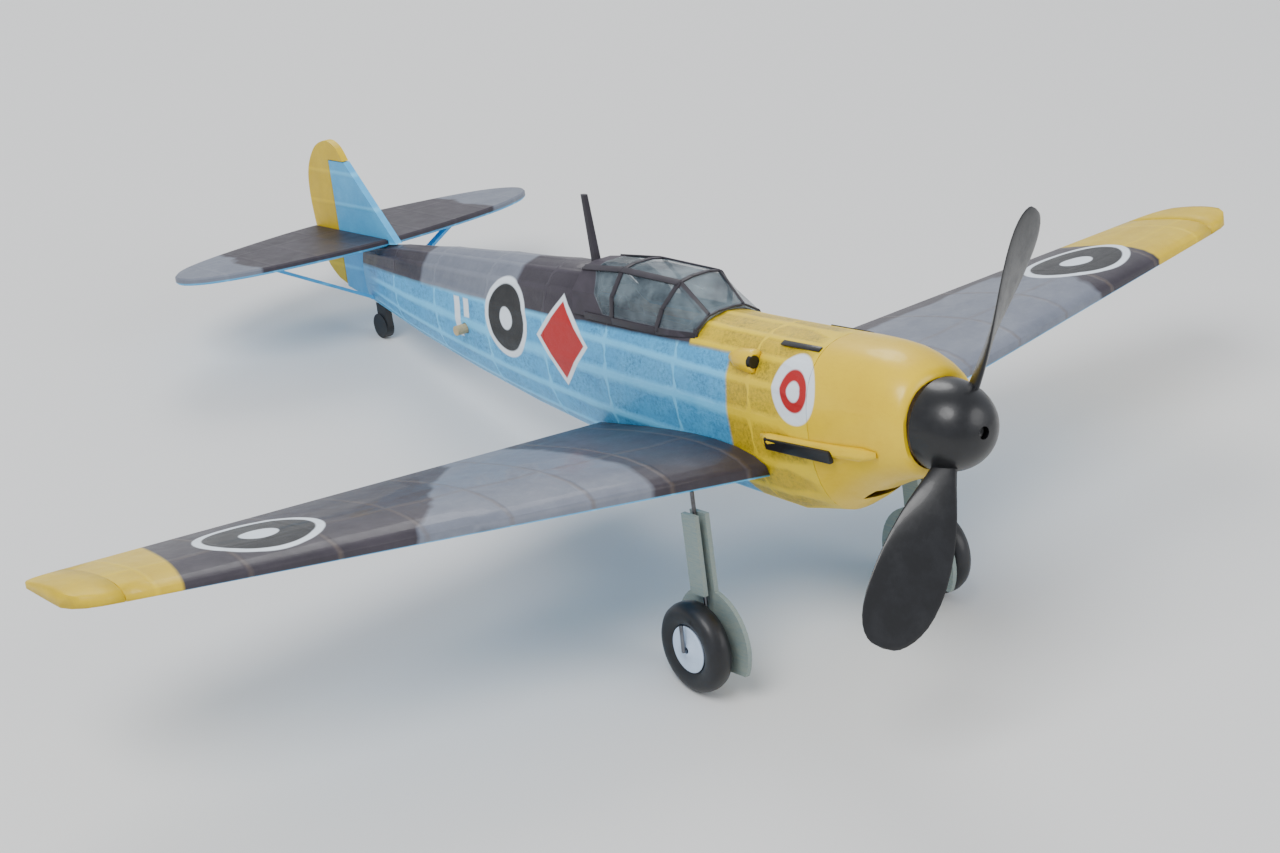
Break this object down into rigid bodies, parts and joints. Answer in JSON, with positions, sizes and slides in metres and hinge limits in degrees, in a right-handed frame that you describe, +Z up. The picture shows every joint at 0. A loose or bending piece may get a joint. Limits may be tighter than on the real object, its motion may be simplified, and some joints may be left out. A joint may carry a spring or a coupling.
{
  "type": "rubber band plane",
  "caption": "Stick-and-tissue flying model of a low-wing fighter with an elastic motor, a turning propeller and free-rolling wheels",
  "frame": {"origin": "on the ground under the middle of the bounding box, standing on its three wheels", "axes": "+X towards the propeller, +Y to port along the span, +Z up"},
  "size_m": [0.3364, 0.413, 0.1378],
  "materials": {
    "blue_tissue": "doped tissue, satin",
    "camouflage_tissue": "doped tissue, matt",
    "yellow_tissue": "doped tissue, satin",
    "yellow_plastic": "moulded, glossy",
    "balsa": "bare balsa and dowel",
    "grey_card": "painted sheet balsa",
    "black_plastic": "moulded, satin",
    "white_disc": "painted disc",
    "steel_wire": "bright wire",
    "rubber_band": "tan elastic strip",
    "clear_canopy": "formed clear sheet"
  },
  "bodies": {
    "airframe": {"fuselage_covering": "blue_tissue", "former_1": "balsa", "former_2": "balsa", "former_3": "balsa", "former_4": "balsa", "former_5": "balsa", "former_6": "balsa", "top_stringer_front": "balsa", "top_stringer_rear": "balsa", "bottom_stringer": "balsa", "left_upper_stringer": "balsa", "right_upper_stringer": "balsa", "left_lower_stringer": "balsa", "right_lower_stringer": "balsa", "cowling": "yellow_plastic", "nose_block": "balsa", "nose_button": "black_plastic", "motor_rear": "rubber_band", "motor_peg": "balsa", "left_wing_covering": "camouflage_tissue", "left_wing_tip": "yellow_tissue", "left_wing_spar": "balsa", "left_wing_rib_1": "balsa", "left_wing_rib_2": "balsa", "left_wing_rib_3": "balsa", "right_wing_covering": "camouflage_tissue", "right_wing_tip": "yellow_tissue", "right_wing_spar": "balsa", "right_wing_rib_1": "balsa", "right_wing_rib_2": "balsa", "right_wing_rib_3": "balsa", "left_exhaust": "yellow_plastic", "left_gear_wire": "steel_wire", "left_gear_fairing": "grey_card", "left_gear_cover": "grey_card", "left_stabiliser": "camouflage_tissue", "left_stab_strut": "blue_tissue", "right_exhaust": "yellow_plastic", "right_gear_wire": "steel_wire", "right_gear_fairing": "grey_card", "right_gear_cover": "grey_card", "right_stabiliser": "camouflage_tissue", "right_stab_strut": "blue_tissue", "fin": "blue_tissue", "rudder": "yellow_tissue", "tail_wheel": "black_plastic", "canopy": "clear_canopy", "antenna_mast": "camouflage_tissue", "intake_scoop": "yellow_plastic"},
    "propeller": {"propeller": "black_plastic", "spinner": "black_plastic", "prop_shaft": "steel_wire", "thrust_washer": "steel_wire", "motor_front": "rubber_band"},
    "left_wheel": {"left_tyre": "black_plastic", "left_wheel_disc": "white_disc"},
    "right_wheel": {"right_tyre": "black_plastic", "right_wheel_disc": "white_disc"}
  },
  "joints": [
    {"name": "prop_spin", "type": "hinge", "parent": "airframe", "child": "propeller", "pos_m": [0.14704, 0, 0.08665], "axis": [0.9682, 0, 0.2502], "continuous": true},
    {"name": "left_wheel_spin", "type": "hinge", "parent": "airframe", "child": "left_wheel", "pos_m": [0.10569, 0.0442, 0.01286], "axis": [0, 1, 0], "continuous": true},
    {"name": "right_wheel_spin", "type": "hinge", "parent": "airframe", "child": "right_wheel", "pos_m": [0.10569, -0.0442, 0.01286], "axis": [0, 1, 0], "continuous": true}
  ]
}
